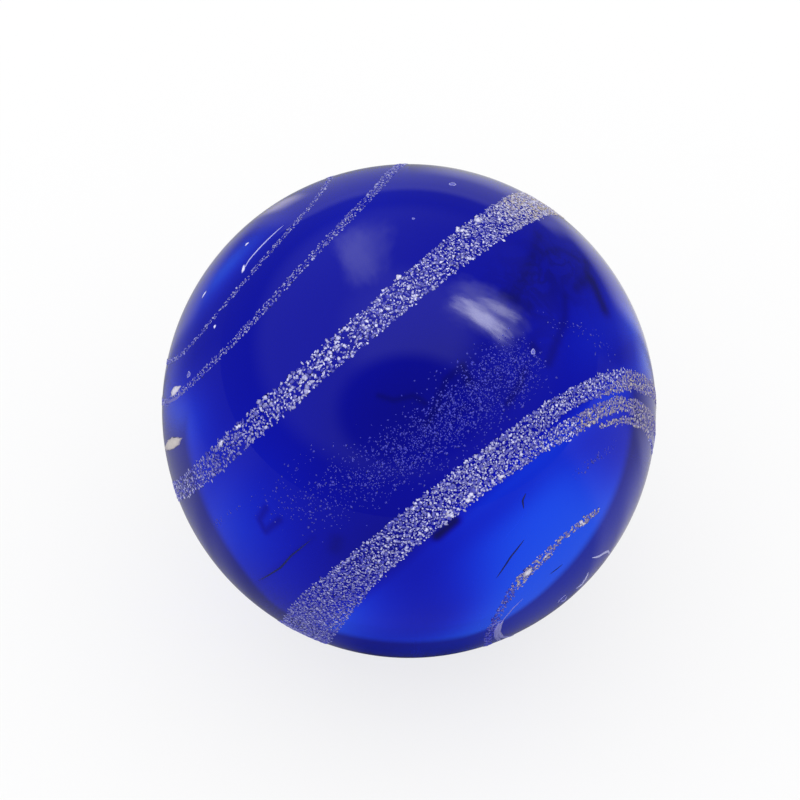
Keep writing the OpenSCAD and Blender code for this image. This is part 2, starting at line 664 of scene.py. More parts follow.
@dataclass
class Grains:
    """Places and looks of a set of grains: each field but the directions has one number a grain."""

    directions: Array
    size: Array
    tone: Array
    warmth: Array
    low: Array
    stretch: Array

    @classmethod
    def drawn(
        cls,
        directions: Array,
        grade: Grade,
        warmth: Array | float,
        random: Random,
    ) -> "Grains":
        """Draws the looks of grains of one grade.

        Args:
            directions: Unit vectors, shape (n, 3).
            grade: The grade.
            warmth: How olive the grains may be, from 0 to 1.
            random: The seeded source of randomness.

        Returns:
            The grains.
        """
        look, count = grade.value, len(directions)
        size = look.size * MM * np.exp(np.clip(random.normal(0.0, look.spread, count), -0.9, 0.9))
        tone = random.uniform(*look.tone, count)
        low = random.uniform(*look.low, count)
        stretch = random.uniform(1.0, look.stretch, count)
        return cls(directions, size, tone, warmth * random.uniform(0.45, 1.0, count), low, stretch)

    @classmethod
    def joined(cls, sets: list["Grains"]) -> "Grains":
        """Gives one set with the grains of several, in their order."""
        return cls(*(np.concatenate([getattr(s, f.name) for s in sets]) for f in fields(cls)))

    def picked(self, kept: Array) -> "Grains":
        """Gives only the grains that kept marks."""
        return Grains(*(getattr(self, f.name)[kept] for f in fields(self)))

    def build(self, name: str, radius: float, sides: int, random: Random) -> Piece:
        """Builds the grains as one mesh of flat double cones, half sunk into the skin.

        Corner k of a grain's rim is middle + size_k (long cos a_k + short sin a_k), where a_k is
        k / sides of a turn, and its two tips stand a quarter of the size above and below the middle.

        Args:
            name: Name of the piece.
            radius: Radius of the skin in metres.
            sides: Corners of a grain's rim.
            random: The seeded source of randomness.

        Returns:
            The grains.
        """
        count, corners = len(self.directions), sides + 2
        east, north = tangents(self.directions)
        spin = random.uniform(0.0, FULL_TURN, count)[:, None]
        along = east * np.cos(spin) + north * np.sin(spin)
        across = np.cross(self.directions, along)
        tilt = random.normal(0.0, GRAIN_TILT, (count, 2))
        up = unit(self.directions + along * tilt[:, :1] + across * tilt[:, 1:])
        along = unit(along - up * np.einsum("ij,ij->i", along, up)[:, None])
        across = np.cross(up, along)
        stretch = np.sqrt(self.stretch[:, None])
        angle = ring_angles(sides)
        reach = self.size[:, None] * random.uniform(*GRAIN_REACH, (count, sides))
        flat = reach * np.cos(angle) * stretch
        wide = reach * np.sin(angle) / stretch
        middle = self.directions * radius
        rim = middle[:, None] + flat[..., None] * along[:, None] + wide[..., None] * across[:, None]
        lift = up * (self.size * GRAIN_LIFT + GRAIN_BASE)[:, None]
        points = np.concatenate([rim, (middle + lift)[:, None], (middle - lift)[:, None]], axis=1)
        ring = np.arange(sides)
        following = (ring + 1) % sides
        top = np.stack([ring, following, np.full(sides, sides)], axis=1)
        foot = np.stack([following, ring, np.full(sides, sides + 1)], axis=1)
        faces = np.concatenate([top, foot])[None] + (np.arange(count) * corners)[:, None, None]
        piece = mesh_object(name, points.reshape(-1, 3), faces.reshape(-1, 3))
        for look in ("tone", "warmth", "low"):
            point_attribute(piece, look, np.repeat(getattr(self, look), corners))
        # Marks the lower tip of each grain, where the silver's painted glow lies
        point_attribute(piece, "under", np.tile(np.arange(corners) == sides + 1, count) * 1.0)
        return piece


def thin(directions: Array, radius: float, spacing: float) -> Array:
    """Keeps one direction in each small cell, so that grains stand side by side.

    A cell is the whole part of the place divided by the spacing.

    Args:
        directions: Unit vectors, shape (n, 3).
        radius: Radius of the skin in metres.
        spacing: Side of a cell in metres.

    Returns:
        The kept directions.
    """
    cells = np.floor(directions * radius / spacing).astype(np.int64)
    _, kept = np.unique(cells, axis=0, return_index=True)
    return directions[np.sort(kept)]


@dataclass
class SilverTrail:
    """The trail of silver flecks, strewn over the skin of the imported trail."""

    radius: float
    packed: Piece
    clumps: list[Place]
    clump_count: int = 5
    draws: int = 90000
    flake_spacing: float = 0.2 * MM
    spark_spacing: float = 0.15 * MM
    stray: float = 0.06 * MM
    skin_depth: float = 0.02 * MM
    tail_lat: float = -49.5
    seed: int = 7

    def skin_triangles(self) -> Array:
        """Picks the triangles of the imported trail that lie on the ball's own surface.

        Returns:
            Their corners, shape (n, 3, 3).
        """
        mesh = self.packed.data
        mesh.calc_loop_triangles()
        places = np.empty(len(mesh.vertices) * 3)
        mesh.vertices.foreach_get("co", places)
        index = np.empty(len(mesh.loop_triangles) * 3, dtype=np.int32)
        mesh.loop_triangles.foreach_get("vertices", index)
        corners = places.reshape(-1, 3)[index.reshape(-1, 3)]
        nearest = np.linalg.norm(corners, axis=2).min(axis=1)
        return corners[nearest > self.radius - self.skin_depth]

    def hair_share(self, lat: Array) -> Array:
        """Gives how much a place belongs to the hair lines, which lie above latitude 32 to 38."""
        return smooth((lat - 32.0) / 6.0)

    def scatter(self, stray: float, random: Random) -> Array:
        """Strews directions evenly by area over the skin of the trail, with ragged edges.

        A point is a corner plus two random shares of the triangle's sides, then moved by normal
        deviates times stray, or times 0.4 stray in the hair lines.

        Args:
            stray: Spread of the move in metres.
            random: The seeded source of randomness.

        Returns:
            Unit vectors, shape (draws, 3).
        """
        tri = self.skin_triangles()
        side_a, side_b = tri[:, 1] - tri[:, 0], tri[:, 2] - tri[:, 0]
        area = np.linalg.norm(np.cross(side_a, side_b), axis=1)
        pick = random.choice(len(tri), self.draws, p=area / area.sum())
        share = random.random((self.draws, 2))
        over = share.sum(axis=1) > 1.0
        share[over] = 1.0 - share[over]
        points = tri[pick, 0] + share[:, :1] * side_a[pick] + share[:, 1:] * side_b[pick]
        _, lat = turns_and_lats(unit(points))
        wander = stray * (1.0 - 0.6 * self.hair_share(lat))
        return unit(points + random.normal(0.0, 1.0, points.shape) * wander[:, None])

    def strewn(
        self, grade: Grade, spacing: float, share: float, random: Random
    ) -> Grains:
        """Strews grains of one grade over the trail, with looks that vary from place to place.

        The hair lines are finer, duller and thinner. Both bands are dull at their left ends, where
        only the upper one clears up again, and pale and partly olive at their right ends. The upper
        band's left half is coarser. The thin end of the tail is sparse and turns dull and low.

        Args:
            grade: The grade.
            spacing: Side in metres of the cells that hold one grain each.
            share: Share of the cells that keep their grain.
            random: The seeded source of randomness.

        Returns:
            The grains.
        """
        stray = self.stray * (0.4 if grade is Grade.FLAKE else 1.0)
        directions = thin(self.scatter(stray, random), self.radius, spacing)
        directions = directions[random.random(len(directions)) < share]
        grains = Grains.drawn(directions, grade, self.warmth_at(directions), random)
        turn, lat = turns_and_lats(directions)
        hair = self.hair_share(lat)
        end = smooth((turn - 45.0) / 30.0) * (np.abs(lat) < 24.0)
        left = smooth((-turn - 15.0) / 35.0) * (lat < 32.0) * np.where(lat > 0.0, 0.55, 0.35)
        left *= 1.0 - 0.7 * smooth((-turn - 50.0) / 20.0) * (lat > 0.0)
        coarse = smooth((12.0 - turn) / 12.0) * (lat > 0.0) * (lat < 32.0)
        sunk = (lat < -53.5) * smooth((-turn - 8.0) / 10.0) * smooth((turn + 100.0) / 20.0)
        grains.tone = np.clip(grains.tone * (1.0 - 0.2 * hair - left) + 0.5 * end, 0.0, 1.0)
        grains.tone *= 1.0 - 0.5 * sunk
        grains.low = np.clip(grains.low + 0.2 * hair + 0.4 * left - 0.55 * end, 0.0, 1.0)
        grains.low = np.clip(grains.low + 0.4 * sunk, 0.0, 1.0)
        grains.warmth = np.maximum(grains.warmth, 0.9 * end * random.random(len(turn)))
        grains.size *= 1.0 - 0.2 * hair
        kept = 1.0 - 0.4 * coarse - 0.2 * (lat < self.tail_lat)
        if grade is Grade.SPARK:
            grains.size *= 1.0 + 0.28 * coarse
        else:
            kept -= 0.45 * hair
        return grains.picked(random.random(len(turn)) < kept)

    def clumped(self, random: Random) -> Grains:
        """Draws the pale clumps, each a handful of larger grains pressed together.

        Args:
            random: The seeded source of randomness.

        Returns:
            The grains of all clumps.
        """
        places = np.repeat(np.array(self.clumps, dtype=float), self.clump_count, axis=0)
        middles = headings(places[:, 0], places[:, 1])
        tail = places[:, 1] < self.tail_lat
        spread = np.where(tail, 0.07, 0.11)[:, None] * MM
        moved = unit(middles * self.radius + random.normal(0.0, 1.0, middles.shape) * spread)
        return Grains.drawn(moved, Grade.CLUMP, np.where(tail, 0.45, 0.15), random)

    def warmth_at(self, directions: Array) -> Array:
        """Gives how olive a grain is: the second strand past its split, and the tail.

        Args:
            directions: Unit vectors, shape (n, 3).

        Returns:
            A share from 0 to 1.
        """
        turn, lat = turns_and_lats(directions)
        second = (turn > 33.0) & (lat < -26.0) & (lat > -45.0)
        tail = (lat < self.tail_lat) & (turn > -14.0) & (turn < 34.0)
        return 0.75 * second + 0.8 * tail

    def build(self, finish: Material) -> list[Piece]:
        """Builds the trail as two pieces, the dull flakes below and the sparks with the clumps.

        Args:
            finish: The silver.

        Returns:
            The two pieces.
        """
        random = np.random.default_rng(self.seed)
        flakes = self.strewn(Grade.FLAKE, self.flake_spacing, 0.95, random)
        sparks = self.strewn(Grade.SPARK, self.spark_spacing, 0.9, random)
        sparks = Grains.joined([sparks, self.clumped(random)])
        pieces = []
        for name, grains in (("silver_flake_bed", flakes), ("silver_fleck_trail", sparks)):
            piece = grains.build(name, self.radius, 5, random)
            piece.data.materials.append(finish)
            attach(piece, "root")
            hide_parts("silver_trail")
            pieces.append(piece)
        return pieces


@dataclass
class Drift:
    """A drift of dust along a line, thickest where the peak of its beta law lies."""

    places: list[Place]
    spread: float
    count: int
    law: Span = (1.0, 1.0)
    warmth: float = 0.0
    spacing: float = 0.1 * MM

    def grains(self, radius: float, random: Random) -> Grains:
        """Strews the drift: a share of the way along the line, then a normal deviate sideways.

        Args:
            radius: Radius of the skin in metres.
            random: The seeded source of randomness.

        Returns:
            The grains, one in each cell.
        """
        turns, lats = np.array(self.places, dtype=float).T
        share = random.beta(*self.law, self.count) * (len(turns) - 1)
        steps = np.arange(len(turns))
        turn = np.interp(share, steps, turns) + random.normal(0.0, self.spread * 0.4, self.count)
        lat = np.interp(share, steps, lats) + random.normal(0.0, self.spread, self.count)
        directions = thin(headings(turn, lat), radius, self.spacing)
        return Grains.drawn(directions, Grade.DUST, self.warmth, random)


@dataclass
class SilverDust:
    """The fine dust beside the trail: the blue veil between the bands, and stray flecks."""

    radius: float
    drifts: list[Drift]
    seed: int = 12

    def build(self, finish: Material) -> Piece:
        """Builds all drifts as one mesh.

        Args:
            finish: The silver.

        Returns:
            The dust.
        """
        random = np.random.default_rng(self.seed)
        grains = Grains.joined([drift.grains(self.radius, random) for drift in self.drifts])
        dust = grains.build("silver_dust", self.radius, 4, random)
        dust.data.materials.append(finish)
        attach(dust, "root")
        return dust


# ---- Marks on the skin ----


class MarkLook(Enum):
    """Looks of a small mark: tone and lowness from its middle to its rim, in painted light and shade.
    """

    # A chip's bright middle and a bubble's pale ring are painted highlights, the bubble's dark ring
    # painted shade; a glint is all painted highlight
    CHIP_AND_HIGHLIGHT = ((1.0, 0.0), (0.95, 0.0), (0.75, 0.05), (0.35, 0.5))
    BUBBLE_AND_HIGHLIGHT = ((0.35, 0.6), (0.05, 1.0), (0.7, 0.25), (0.0, 1.0))
    GLINT = ((1.0, 0.0), (1.0, 0.0), (0.6, 0.3), (0.1, 0.9))


@dataclass
class Mark:
    """A small flat mark in the skin, in millimetres: a chip or a bubble with painted highlights, or a
    glint.
    """

    place: Place
    length: float
    width: float
    slant: float
    look: MarkLook
    warmth: float = 0.0
    pointed: float = 0.0


@dataclass
class Scratch:
    """A fine line on the skin, pale (partly a painted highlight) or dark, thinning to both ends. Width
    in mm.
    """

    places: list[Place]
    width: float
    tone: float = 0.8
    low: float = 0.1
    dark: float = 0.0


@dataclass
class SkinMarks:
    """All marks and scratches, with their painted highlights, as one mesh of low domes and thin rods
    half sunk in the skin.
    """

    radius: float
    marks: list[Mark]
    scratches: list[Scratch]
    around: int = 14
    sides: int = 5
    steps: int = 8
    seed: int = 3

    def dome(self, mark: Mark, phase: float) -> Shape:
        """Shapes one mark as a closed low dome.

        Ring k of four has the share f = 0.15, 0.5, 0.8, 1 of the length and width, times
        1 + 0.12 sin(3 a + phase) + 0.07 sin(5 a), and stands 0.02 mm (1 - f^2) above the skin.
        Its width also follows |sin a| to the power of pointed, which draws its two ends out.

        Args:
            mark: The mark.
            phase: Where the waves of its outline begin.

        Returns:
            Points, triangles and the five attributes of each point.
        """
        middle = headings_of([mark.place])
        east, north = (side[0] for side in tangents(middle))
        turn = math.radians(mark.slant)
        along = east * math.cos(turn) + north * math.sin(turn)
        across = north * math.cos(turn) - east * math.sin(turn)
        share = np.array([0.15, 0.5, 0.8, 1.0])[:, None]
        angle = ring_angles(self.around)
        wave = 1.0 + 0.12 * np.sin(3.0 * angle + phase) + 0.07 * np.sin(5.0 * angle)
        x = share * wave * np.cos(angle) * mark.length * 0.5 * MM
        lens = np.sin(angle) * np.abs(np.sin(angle)) ** mark.pointed
        y = share * wave * lens * mark.width * 0.5 * MM
        flat = middle[0] * self.radius + x[..., None] * along + y[..., None] * across
        height = self.radius + 0.004 * MM + 0.02 * MM * (1.0 - share**2)
        rings = unit(flat) * height[..., None]
        top = middle * (self.radius + 0.025 * MM)
        foot = middle * (self.radius - 0.03 * MM)
        points = np.concatenate([rings.reshape(-1, 3), top, foot])
        # Tones ring by ring from the look: the pale rings are painted highlights
        steps = np.repeat(np.array(mark.look.value), self.around, axis=0)
        tone, low = np.concatenate([steps, steps[:1], steps[-1:]]).T
        plain = np.ones(len(points))
        # The sunk points carry the silver's painted glow
        under = (np.linalg.norm(points, axis=1) < self.radius) * 1.0
        values = np.column_stack([tone, mark.warmth * plain, low, 0.0 * plain, under])
        return points, capped_faces(len(share), self.around, flipped=True), values

    def rod(self, scratch: Scratch) -> Shape:
        """Shapes one scratch as a closed rod.

        The line runs smoothly through the places. Its thickness is width (4 s (1 - s))^0.7 at the
        share s of the way, and a ring's corners stand round the line at equal angles.

        Args:
            scratch: The scratch.

        Returns:
            Points, triangles and the five attributes of each point.
        """
        corners = headings_of(scratch.places)
        runs = len(corners) - 1
        steps = np.linspace(0.0, runs, self.steps * runs + 1)
        line = np.column_stack([np.interp(steps, np.arange(len(corners)), c) for c in corners.T])
        eased = (line[:-2] + 2.0 * line[1:-1] + line[2:]) / 4.0
        line = unit(np.concatenate([line[:1], eased, line[-1:]]))
        side = unit(np.cross(line, unit(np.gradient(line, axis=0))))
        share = np.linspace(0.0, 1.0, len(line))
        thick = scratch.width * 0.5 * MM * (4.0 * share * (1.0 - share)) ** 0.7 + 0.002 * MM
        angle = ring_angles(self.sides)[None, :, None]
        outline = np.cos(angle) * side[:, None] + 0.5 * np.sin(angle) * line[:, None]
        rings = line[:, None] * (self.radius + 0.002 * MM) + thick[:, None, None] * outline
        points = np.concatenate([rings.reshape(-1, 3), line[:1] * self.radius, line[-1:] * self.radius])
        values = np.tile([scratch.tone, 0.0, scratch.low, scratch.dark, 0.0], (len(points), 1))
        # The sunk points of pale scratches carry the silver's painted glow
        values[:, 4] = (np.linalg.norm(points, axis=1) < self.radius) * (1.0 - scratch.dark)
        return points, capped_faces(len(line), self.sides), values

    def build(self, finish: Material) -> Piece:
        """Builds all of them as one mesh.

        Args:
            finish: The silver.

        Returns:
            The marks.
        """
        random = np.random.default_rng(self.seed)
        shapes = [self.dome(mark, random.uniform(0.0, 6.0)) for mark in self.marks]
        shapes += [self.rod(scratch) for scratch in self.scratches]
        points, faces, values = zip(*shapes)
        starts = np.cumsum([0] + [len(part) for part in points])
        faces = [part + start for part, start in zip(faces, starts)]
        marks = mesh_object("skin_marks", np.concatenate(points), np.concatenate(faces))
        names = ("tone", "warmth", "low", "dark", "under")
        for name, column in zip(names, np.concatenate(values).T):
            point_attribute(marks, name, column)
        marks.data.materials.append(finish)
        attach(marks, "root")
        return marks


# ---- The studio ----


@dataclass
class Card:
    """A soft-edged card that glass and gloss can see from the ball. Its angles are in degrees."""

    name: str
    azimuth: float
    elevation: float
    width: float
    height: float
    strength: float
    roll: float
    softness: float
    ragged: float
    distance: float = 0.6
    noise_scale: float = 5.0
    noise_detail: float = 2.5

    def build(self) -> None:
        """Builds the card square to the line to the ball.

        A corner is distance (out + side tan(width / 2) + up tan(height / 2)), with signs.
        """
        azimuth, elevation = math.radians(self.azimuth), math.radians(self.elevation)
        level_out = np.array([math.sin(azimuth), math.cos(azimuth), 0.0]) * math.cos(elevation)
        out = level_out + np.array([0.0, 0.0, math.sin(elevation)])
        level = unit(np.cross(out, np.array([0.0, 0.0, 1.0])))
        upright = np.cross(level, out)
        roll = math.radians(self.roll)
        side = level * math.cos(roll) + upright * math.sin(roll)
        rise = upright * math.cos(roll) - level * math.sin(roll)
        half_w = math.tan(math.radians(self.width / 2.0))
        half_h = math.tan(math.radians(self.height / 2.0))
        across, up = SQUARE[:, :1] * half_w * side, SQUARE[:, 1:] * half_h * rise
        card = mesh_object(self.name, self.distance * (out + across + up), SQUARE_FACE)
        layer = card.data.uv_layers.new(name="card")
        layer.data.foreach_set("uv", np.clip(SQUARE, 0.0, 1.0).ravel())
        card.data.materials.append(self.material())
        card.visible_camera = False
        card.visible_diffuse = False
        card.visible_shadow = False

    def material(self) -> Material:
        """Builds a light whose strength falls smoothly to nothing at the edges.

        With x and y from -1 to 1 over the card, the light is the strength where
        (x^4 + y^4)^(1/4) is below 1 - softness, and falls to nothing at 1. First the raggedness
        times a noise about 0 is added to that number, which never falls below (x^4 + y^4)^3.

        Returns:
            The material.
        """
        material, nodes = new_material(self.name)
        place = nodes.add("ShaderNodeUVMap", uv_map="card").outputs["UV"]
        powers = []
        for part in nodes.apart(place)[:2]:
            centred = nodes.times(nodes.math("SUBTRACT", part, 0.5), 2.0)
            powers.append(nodes.math("POWER", nodes.math("ABSOLUTE", centred), 4.0))
        total = nodes.math("ADD", *powers)
        noise = nodes.noise(place, self.noise_scale, self.noise_detail)
        uneven = nodes.math("SUBTRACT", noise, 0.5)
        far = nodes.math("ADD", nodes.math("POWER", total, 0.25), nodes.times(uneven, self.ragged))
        far = nodes.math("MAXIMUM", far, nodes.math("POWER", total, 3.0))
        share = nodes.span(far, 1.0 - self.softness, 1.0, 1.0, 0.0)
        clear = nodes.add("ShaderNodeBsdfTransparent").outputs["BSDF"]
        light = nodes.either(share, clear, nodes.glow(WHITE, self.strength))
        nodes.add("ShaderNodeOutputMaterial", {"Surface": light})
        return material


@dataclass
class Patch:
    """A part of the paper painted lighter or darker for gloss, as light and shade, by direction from a
    spot and distance.
    """

    colour: Colour
    start: float
    end: float
    soft: float
    near: float
    far: float = 4000.0

    def share(self, nodes: Nodes, bearing: Socket, away: Socket) -> Socket:
        """Gives how much of the patch a place has.

        The share is 1 between start and end, in degrees, and between near and far, in millimetres,
        and falls to 0 within soft degrees and a third of the distance.

        Args:
            nodes: The material's tree.
            bearing: Degrees from the back, towards the right.
            away: Millimetres from the spot.

        Returns:
            The share, from 0 to 1.
        """
        rise = nodes.span(bearing, self.start - self.soft, self.start + self.soft)
        fall = nodes.span(bearing, self.end - self.soft, self.end + self.soft, 1.0, 0.0)
        out = nodes.span(away, self.near * 0.67, self.near * 1.33)
        back = nodes.span(away, self.far * 0.67, self.far * 1.33, 1.0, 0.0)
        return nodes.times(nodes.times(rise, fall), nodes.times(out, back))


@dataclass
class SheetEdge:
    """A straight edge of the white sheet that glass sees.

    The edge starts at a point of the floor, given from the spot in millimetres, and runs off to a
    bearing. It goes on up the wall as a slope: the bearing changes by lean degrees a degree. The
    floor is white again further round than the bearing again. On the floor the edge's blur in
    millimetres grows with each metre, and elsewhere it is so many degrees soft.
    """

    start: Place
    bearing: float
    lean: float
    again: float
    sheet_on_right: bool
    blur: float = 0.7
    blur_growth: float = 60.0
    again_soft: float = 7.0
    wall_soft: float = 3.0

    def on_floor(self, nodes: Nodes, x: Socket, y: Socket) -> Socket:
        """Gives how much of a place on the floor is sheet, softer further off.

        Args:
            nodes: The material's tree.
            x: How far right of the spot the place is, in metres.
            y: How far behind the spot it is.

        Returns:
            The share, from 0 to 1.
        """
        turn = math.radians(self.bearing)
        sign = (1.0 if self.sheet_on_right else -1.0) / MM
        right = nodes.math("SUBTRACT", x, self.start[0] * MM)
        back = nodes.math("SUBTRACT", y, self.start[1] * MM)
        along = nodes.times(right, math.cos(turn) * sign)
        inside = nodes.math("SUBTRACT", along, nodes.times(back, math.sin(turn) * sign))
        growth = nodes.times(nodes.math("ABSOLUTE", back), self.blur_growth)
        blurred = nodes.math("DIVIDE", inside, nodes.math("ADD", growth, self.blur))
        again, soft = abs(self.again), self.again_soft
        round_to = nodes.bearing(x, y, math.copysign(IN_DEGREES, self.again))
        beyond = nodes.span(round_to, again - soft, again + soft)
        return nodes.math("MAXIMUM", nodes.span(blurred, -1.0, 1.0), beyond)

    def on_wall(self, nodes: Nodes, bearing: Socket, rise: Socket) -> Socket:
        """Gives how much of a direction is sheet.

        Args:
            nodes: The world's tree.
            bearing: Degrees from the back, towards the right.
            rise: Degrees above the floor.

        Returns:
            The share, from 0 to 1.
        """
        past = nodes.math("SUBTRACT", bearing, nodes.times(rise, self.lean))
        sign = 1.0 if self.sheet_on_right else -1.0
        inside = nodes.times(nodes.math("SUBTRACT", past, self.bearing), sign)
        return nodes.span(inside, -self.wall_soft, self.wall_soft)


@dataclass
class Studio:
    """The pale floor, the room that the glass sees, and the lamps.

    A span is where something begins and where it is complete: a share of a direction along X or
    up Z, or degrees from the back for the strip's end.
    """

    radius: float
    mirror_patches: list[Patch]
    cards: list[Card]
    floor_reach: float = 1.6
    floor_glow: float = 1.05
    dome: Colour = (1.3, 1.3, 1.3)
    spot: Place = (0.0, 10.5 * MM)
    paper: Colour = (0.7, 0.7, 0.7)
    sheet: Colour = (1.05, 1.05, 1.05)
    table: Colour = (0.14, 0.14, 0.42)
    edges: tuple[SheetEdge, SheetEdge] = (
        SheetEdge((-3.2, 0.0), -28.0, 1.3, -98.0, sheet_on_right=True),
        SheetEdge((3.2, 0.0), 37.0, -0.6, 86.0, sheet_on_right=False),
    )
    glow_share: float = 0.7
    wall_top: Span = (0.12, 0.22)
    strip_top: Span = (0.02, 0.12)
    strip_end: Span = (16.0, 26.0)
    mirror_shade: Colour = (0.18, 0.18, 0.19)
    wall_in_gloss: Colour = (0.36, 0.36, 0.38)
    ceiling_low: Colour = (0.12, 0.12, 0.13)
    ceiling_left: Colour = (0.31, 0.31, 0.34)
    ceiling_right: Colour = (0.17, 0.17, 0.19)
    ceiling_across: Span = (-0.5, 0.5)
    ceiling_climb: Span = (0.25, 0.45)
    ceiling_top: Colour = (0.5, 0.5, 0.56)
    ceiling_crown: Span = (0.82, 0.95)
    someone: Colour = (0.11, 0.11, 0.12)
    someone_at: tuple[float, float, float] = (0.0, -0.643, 0.766)
    someone_edge: Span = (0.86, 0.93)
    someone_breadth: float = 0.2

    def from_spot(self, nodes: Nodes, spot: Place) -> tuple[Socket, ...]:
        """Gives the place on the floor from a spot, in metres, as outputs for X, Y and Z."""
        feeds = {0: nodes.place(), 1: (*spot, -self.radius)}
        return nodes.apart(nodes.add("ShaderNodeVectorMath", feeds, operation="SUBTRACT").outputs[0])

    def under_glass(self, nodes: Nodes) -> Socket:
        """Paints the floor as glass sees it: a white sheet between two edges on a dark table.

        Args:
            nodes: The floor material's tree.

        Returns:
            The colour.
        """
        x, y, _ = self.from_spot(nodes, self.spot)
        left, right = (edge.on_floor(nodes, x, y) for edge in self.edges)
        return nodes.mix(nodes.times(left, right), self.table, self.sheet)

    def mirrored(self, nodes: Nodes) -> Socket:
        """Paints the floor as gloss sees it: one shade with the mirror patches round the ball, in
        painted light and shade.

        Args:
            nodes: The floor material's tree.

        Returns:
            The colour.
        """
        x, y, _ = self.from_spot(nodes, (0.0, 0.0))
        bearing = nodes.bearing(x, y)
        squares = [nodes.math("POWER", part, 2.0) for part in (x, y)]
        away = nodes.times(nodes.math("SQRT", nodes.math("ADD", *squares)), 1.0 / MM)
        colour: object = self.mirror_shade
        for patch in self.mirror_patches:
            colour = nodes.mix(patch.share(nodes, bearing, away), colour, patch.colour)
        return colour

    def floor(self) -> None:
        """Builds the pale floor under the ball: dull, paler to the eye, and painted for the glass."""
        points = np.column_stack([SQUARE * self.floor_reach, np.full(4, -self.radius)])
        floor = mesh_object("studio_floor", points, SQUARE_FACE)
        material, nodes = new_material("pale_paper")
        path = nodes.add("ShaderNodeLightPath").outputs
        dull = nodes.add("ShaderNodeBsdfDiffuse", {"Color": self.paper}).outputs["BSDF"]
        to_eye = nodes.times(path["Is Camera Ray"], self.glow_share)
        shown = nodes.either(to_eye, dull, nodes.glow(WHITE, self.floor_glow))
        shown = nodes.either(path["Is Glossy Ray"], shown, nodes.glow(self.mirrored(nodes)))
        through = nodes.glow(self.under_glass(nodes))
        shown = nodes.either(path["Is Transmission Ray"], shown, through)
        nodes.add("ShaderNodeOutputMaterial", {"Surface": shown})
        floor.data.materials.append(material)

    def ceiling(self, nodes: Nodes, direction: Socket) -> Socket:
        """Paints the room above the wall as gloss sees it.

        It is dim low down, paler at the left than at the right, brighter overhead, and darkest
        where someone stands in front.

        Args:
            nodes: The world's tree.
            direction: The direction that is seen.

        Returns:
            The colour.
        """
        x, _, z = nodes.apart(direction)
        across = nodes.span(x, *self.ceiling_across)
        sides = nodes.mix(across, self.ceiling_left, self.ceiling_right)
        colour = nodes.mix(nodes.span(z, *self.ceiling_climb), self.ceiling_low, sides)
        colour = nodes.mix(nodes.span(z, *self.ceiling_crown), colour, self.ceiling_top)
        feeds = {0: direction, 1: self.someone_at}
        ahead = nodes.add("ShaderNodeVectorMath", feeds, operation="DOT_PRODUCT").outputs["Value"]
        near = nodes.math("ADD", ahead, nodes.times(nodes.times(x, x), self.someone_breadth))
        return nodes.mix(nodes.span(near, *self.someone_edge), colour, self.someone)

    def room(self) -> None:
        """Builds the world: white behind, an even dome for dull things, a dim room for glass.

        Through the glass there is a low white wall at the back, up to about 10 degrees, between
        the sheet's edges. In gloss there is a lower strip of it, under the ceiling.
        """
        world = bpy.data.worlds.new("studio_room")
        world.use_nodes = True
        bpy.context.scene.world = world
        nodes = Nodes(world.node_tree)
        path = nodes.add("ShaderNodeLightPath").outputs
        through = path["Is Transmission Ray"]
        direction = nodes.place("Generated")
        x, y, z = nodes.apart(direction)
        bearing = nodes.bearing(x, y)
        rise = nodes.times(z, IN_DEGREES)
        left, right = (edge.on_wall(nodes, bearing, rise) for edge in self.edges)
        wall = nodes.times(nodes.span(z, *self.wall_top, 1.0, 0.0), nodes.times(left, right))
        strip = nodes.span(z, *self.strip_top, 1.0, 0.0)
        strip = nodes.times(strip, nodes.span(bearing, *self.strip_end, 1.0, 0.0))
        shown_wall = nodes.mix(through, nodes.times(strip, left), wall)
        above = nodes.mix(through, self.ceiling(nodes, direction), self.table)
        seen = nodes.mix(shown_wall, above, nodes.mix(through, self.wall_in_gloss, WHITE))
        glassy = nodes.math("MAXIMUM", path["Is Glossy Ray"], through)
        shown = nodes.mix(path["Is Camera Ray"], nodes.mix(glassy, self.dome, seen), WHITE)
        back = nodes.add("ShaderNodeBackground", {"Color": shown}).outputs["Background"]
        nodes.add("ShaderNodeOutputWorld", {"Surface": back})

    def build(self) -> None:
        """Builds floor, room and cards."""
        self.floor()
        self.room()
        for card in self.cards:
            card.build()


@dataclass
class Viewpoint:
    """The camera: azimuth 0, looking steeply down, with a long lens."""

    radius: float
    elevation: float = 50.0
    distance: float = 0.4
    share: float = 0.30875
    sideways: float = -0.01125
    upwards: float = 0.01375
    sensor: float = 36.0

    def build(self) -> None:
        """Places the camera so that the ball's radius takes its share of the picture's width.

        The lens is share times the sensor's width over the tangent of the ball's half angle.
        """
        data = bpy.data.cameras.new("view_camera")
        data.sensor_width = self.sensor
        data.lens = self.share * self.sensor / math.tan(math.asin(self.radius / self.distance))
        data.shift_x, data.shift_y = self.sideways, self.upwards
        data.clip_start, data.clip_end = 0.01, 10.0
        camera = bpy.data.objects.new("view_camera", data)
        rise = math.radians(self.elevation)
        camera.location = (0.0, -self.distance * math.cos(rise), self.distance * math.sin(rise))
        camera.rotation_euler = (math.radians(90.0 - self.elevation), 0.0, 0.0)
        bpy.context.scene.collection.objects.link(camera)
        bpy.context.scene.camera = camera
